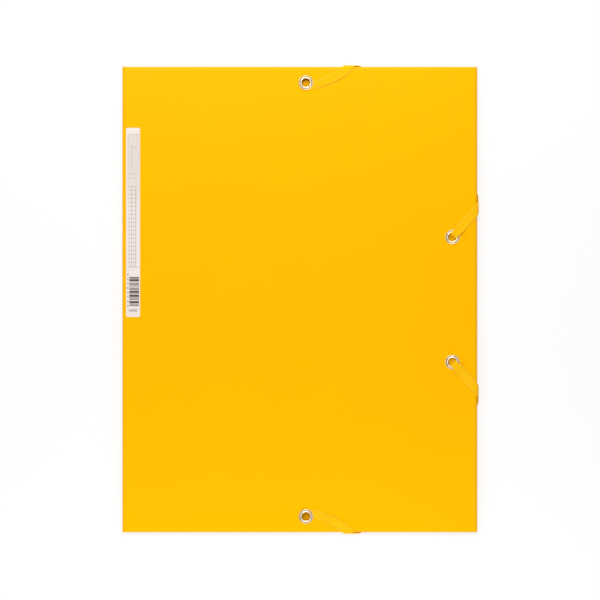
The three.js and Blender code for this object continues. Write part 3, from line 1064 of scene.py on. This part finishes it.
def makeSelvage(rows, material):
    vertices = []
    edges = []
    for side in (0, 1):
        start = len(vertices)
        for row in rows:
            edgePoint = row[side].lerp(row[1 - side], selvage["inset"])
            fromBarrel = min((edgePoint.xy - axis).length for axis in (headEyelet.xy, footEyelet.xy))
            if fromBarrel > eyelet["barrelFit"] + selvage["length"] / 2:
                vertices.append(edgePoint)
        edges += [(index, index + 1) for index in range(start, len(vertices) - 1)]
    mesh = bpy.data.meshes.new("selvage_path")
    mesh.from_pydata(vertices, edges, [])
    path = bpy.data.objects.new("selvage_path", mesh)
    bpy.context.scene.collection.objects.link(path)
    tree, sockets = selvageTree(material)
    modifier = path.modifiers.new("loops", "NODES")
    modifier.node_group = tree
    modifier[sockets["Loop spacing"]] = selvage["spacing"]
    modifier[sockets["Loop length"]] = selvage["length"]
    modifier[sockets["Loop radius"]] = selvage["radius"]
    modifier[sockets["Seed"]] = selvage["seed"]
    loops = plainMesh(path)
    made = bpy.data.objects.new("elastic_selvage", loops)
    bpy.context.scene.collection.objects.link(made)
    bpy.data.objects.remove(path)
    if "weave" not in loops.uv_layers:
        loops.uv_layers.new(name="weave")
    return made


# The outer skin of the rounded spine, and the spine's ends
spine = {
    "proud": 0.02 * mm,
    "skin": 0.05 * mm,
    "segments": 24,
    "bands": 16,
    "bendReach": 0.9 * mm,
    "split": 0.3 * mm,
    "endSteps": 14,
}


# One section, drawn along Y from place to place
def addRun(vertices, faces, section, places):
    base = len(vertices)
    count = len(section)
    for y in places:
        vertices += [(x, y, z) for x, z in section]
    for run in range(len(places) - 1):
        start = base + run * count
        for index in range(count):
            after = (index + 1) % count
            faces.append((start + index, start + after, start + count + after, start + count + index))
    end = len(vertices)
    faces += [tuple(range(base, base + count)), tuple(range(end - count, end))]


def spineSection(outer, inner, turns):
    centre = Vector((spineX + spineRadius, 0, hingeZ))
    section = [(centre.x + outer * math.cos(turn), centre.z + outer * math.sin(turn)) for turn in turns]
    for turn in reversed(turns):
        section.append((centre.x + inner * math.cos(turn), centre.z + inner * math.sin(turn)))
    return section


def makeSpineSkin(material):
    outer = spineRadius + spine["proud"]
    segments, bands = spine["segments"], spine["bands"]
    turns = [math.pi / 2 + math.pi * index / segments for index in range(segments + 1)]
    vertices = []
    faces = []
    places = [mix(backLow.y, backHigh.y, band / bands) for band in range(bands + 1)]
    addRun(vertices, faces, spineSection(outer, outer - spine["skin"], turns), places)
    skin = meshObject("spine_skin", vertices, faces, material)
    tidyNormals(skin.data)
    return skin


# The back half of the spine is cut level with the folded head and foot edges
def makeSpineEnds(material):
    inside = spineRadius - cardThickness
    lowest = math.asin(spine["split"] / 2 / inside)
    steps = spine["endSteps"]
    turns = [math.pi / 2 + (math.pi / 2 - lowest) * index / steps for index in range(steps + 1)]
    vertices = []
    faces = []
    for side in (1, -1):
        places = (side * (headY - endFoldRadius), side * headY)
        addRun(vertices, faces, spineSection(spineRadius, inside, turns), places)
    ends = meshObject("spine_ends", vertices, faces, material)
    tidyNormals(ends.data)
    return ends


# Close to each corner the folds taper to a mitre, so that no hole is left beside the panel
corners = {
    "relief": 1.2 * mm,
    "steps": 14,
    "turn": math.radians(155),
    "slit": 0.2,
    "slitPower": 6,
}


def foldCorner(vertices, faces, along, reach, foldLine, foldRadius, placeOf):
    base = len(vertices)
    near, corner = along
    for step in range(corners["steps"] + 1):
        turn = corners["turn"] * step / corners["steps"]
        taper = math.sin(turn) * (1 - corners["slit"] * math.sin(turn) ** corners["slitPower"])
        for radius, inset in ((foldRadius, 0), (foldRadius - cardThickness, cardThickness)):
            out = foldLine + radius * math.sin(turn)
            z = panelZ - foldRadius + radius * math.cos(turn)
            far = corner + max(0.0, reach - inset) * taper
            vertices += [placeOf(near, out, z), placeOf(far, out, z)]
    for step in range(corners["steps"]):
        a, b = base + 4 * step, base + 4 * step + 4
        faces += [
            (a, b, b + 1, a + 1), (a + 2, a + 3, b + 3, b + 2),
            (a, a + 2, b + 2, b), (a + 1, b + 1, b + 3, a + 3)]
    last = base + 4 * corners["steps"]
    faces += [(base, base + 1, base + 3, base + 2), (last, last + 2, last + 3, last + 1)]


def makeFoldCorners(material):
    left = spineX + spineRadius
    right = openingX - sideFoldRadius
    top = headY - endFoldRadius
    relief = corners["relief"]
    vertices = []
    faces = []
    for side in (1, -1):
        def onEnd(along, out, z):
            return along, side * out, z

        def onSide(along, out, z):
            return out, side * along, z

        foldCorner(vertices, faces, (right - relief, right), sideFoldRadius, top, endFoldRadius, onEnd)
        foldCorner(vertices, faces, (top - relief, top), endFoldRadius, right, sideFoldRadius, onSide)
        foldCorner(vertices, faces, (left + relief, left), 0, top, endFoldRadius, onEnd)
    made = meshObject("fold_corners", vertices, faces, material)
    tidyNormals(made.data)
    return made


cardMaterial = cardFinish()
elasticMaterial = elasticFinish()
nickelMaterial = nickelFinish()
labelMaterial = labelFinish()
print("stage: finishes made")

frontCover = copyOfNode("front_cover_card", "front_cover", cardMaterial)
backSheet = copyOfNode("back_sheet_card", "back_panel_with_flaps", cardMaterial)
spineSkin = makeSpineSkin(cardMaterial)
spineEnds = makeSpineEnds(cardMaterial)
foldCorners = makeFoldCorners(cardMaterial)
print("stage: card made")

band, bandRows = makeElastic(elasticMaterial)
loops = makeSelvage(bandRows, selvageFinish())
counts = len(band.data.polygons), len(loops.data.polygons)
print("stage: elastic made", counts[0], "faces,", counts[1], "in the selvages")

eyeletNodes = ["eyelet_head", "eyelet_foot", "eyelet_side_upper", "eyelet_side_lower"]
eyelets = [makeEyelet(node + "_metal", node, nickelMaterial) for node in eyeletNodes]
print("stage: eyelets made")

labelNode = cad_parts["spine_label"]
labelNode.data.materials.clear()
labelNode.data.materials.append(labelMaterial)


# Pale floor, soft light. Each lamp has its name, place, size and power, and faces the origin.
rayKinds = ("Is Camera Ray", "Is Glossy Ray", "Is Transmission Ray")
studio = {
    "floorSize": 6.0,
    "floorColour": (0.94, 0.94, 0.94, 1),
    "floorWhite": 0.7,
    "floorFade": (0.3, 1.1),
    "level": 0.939,
    "worldStrength": 0.26,
    "lamps": (
        ("lampKey", (-0.1, 0.54, 1.25), (0.7, 0.2), 9.07),
        ("lampHead", (0.0, 0.36, 0.20), (0.6, 0.2), 0.78),
        ("lampFoot", (0.0, -0.36, 0.20), (0.6, 0.2), 0.92),
        ("lampLeft", (-0.8, 0.0, 0.7), (0.5, 0.8), 1.35),
        ("lampRight", (0.75, 0.0, 0.2), (0.8, 0.2), 0.50),
    ),
}


# 1 where the camera, a mirror image or clear material shows a surface, 0 where it gives light
def seenDirectly(graph):
    direct, glossy, through = (graph.add("ShaderNodeLightPath", output=kind) for kind in rayKinds)
    return direct.maths("MAXIMUM", glossy).maths("MAXIMUM", through)


def makeStudio():
    graph = materialGraph("pale_floor")
    diffuse = graph.add("ShaderNodeBsdfDiffuse", None, {"Color": studio["floorColour"]})
    white = graph.add("ShaderNodeEmission", None, {"Color": (1, 1, 1, 1), "Strength": 1.0})
    place = graph.add("ShaderNodeTexCoord", output="Object")
    away = graph.add("ShaderNodeVectorMath", {"operation": "LENGTH"}, {0: place}, output="Value")
    whitest = 1 - studio["floorWhite"]
    fade = graph.smoothStep(away, *studio["floorFade"]) * whitest + studio["floorWhite"]
    lift = graph.add("ShaderNodeMixShader", None, {0: seenDirectly(graph) * fade, 1: diffuse, 2: white})
    reach = studio["floorSize"] / 2
    floorCorners = [(-reach, -reach, 0), (reach, -reach, 0), (reach, reach, 0), (-reach, reach, 0)]
    meshObject("floor", floorCorners, [(0, 1, 2, 3)], graph.finish(lift))
    world = bpy.data.worlds.new("world")
    world.use_nodes = True
    sky = Graph(world.node_tree)
    light = studio["worldStrength"] * studio["level"]
    background = world.node_tree.nodes["Background"]
    background.inputs["Color"].default_value = (1, 1, 1, 1)
    sky.feed(background.inputs["Strength"], seenDirectly(sky) * (1 - light) + light)
    bpy.context.scene.world = world
    for name, place, size, power in studio["lamps"]:
        data = bpy.data.lights.new(name, "AREA")
        data.shape = "RECTANGLE"
        data.size, data.size_y = size
        data.energy = power * studio["level"]
        lamp = bpy.data.objects.new(name, data)
        lamp.location = place
        lamp.visible_camera = False
        lamp.rotation_mode = "QUATERNION"
        lamp.rotation_quaternion = (Vector((0, 0, 0)) - Vector(place)).to_track_quat("-Z", "Y")
        bpy.context.scene.collection.objects.link(lamp)


makeStudio()
bpy.context.scene.view_settings.view_transform = "Standard"
print("stage: studio made")

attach(frontCover, "front")
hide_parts("front_cover")
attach(backSheet, "back")
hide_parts("back_panel_with_flaps")
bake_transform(spineSkin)
for piece in (spineEnds, foldCorners):
    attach(piece, "back")
for ring, node in zip(eyelets, eyeletNodes):
    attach(ring, "back")
    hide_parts(node)
for piece in (band, loops):
    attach(piece, "back")
    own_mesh(piece)
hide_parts("elastic_band")
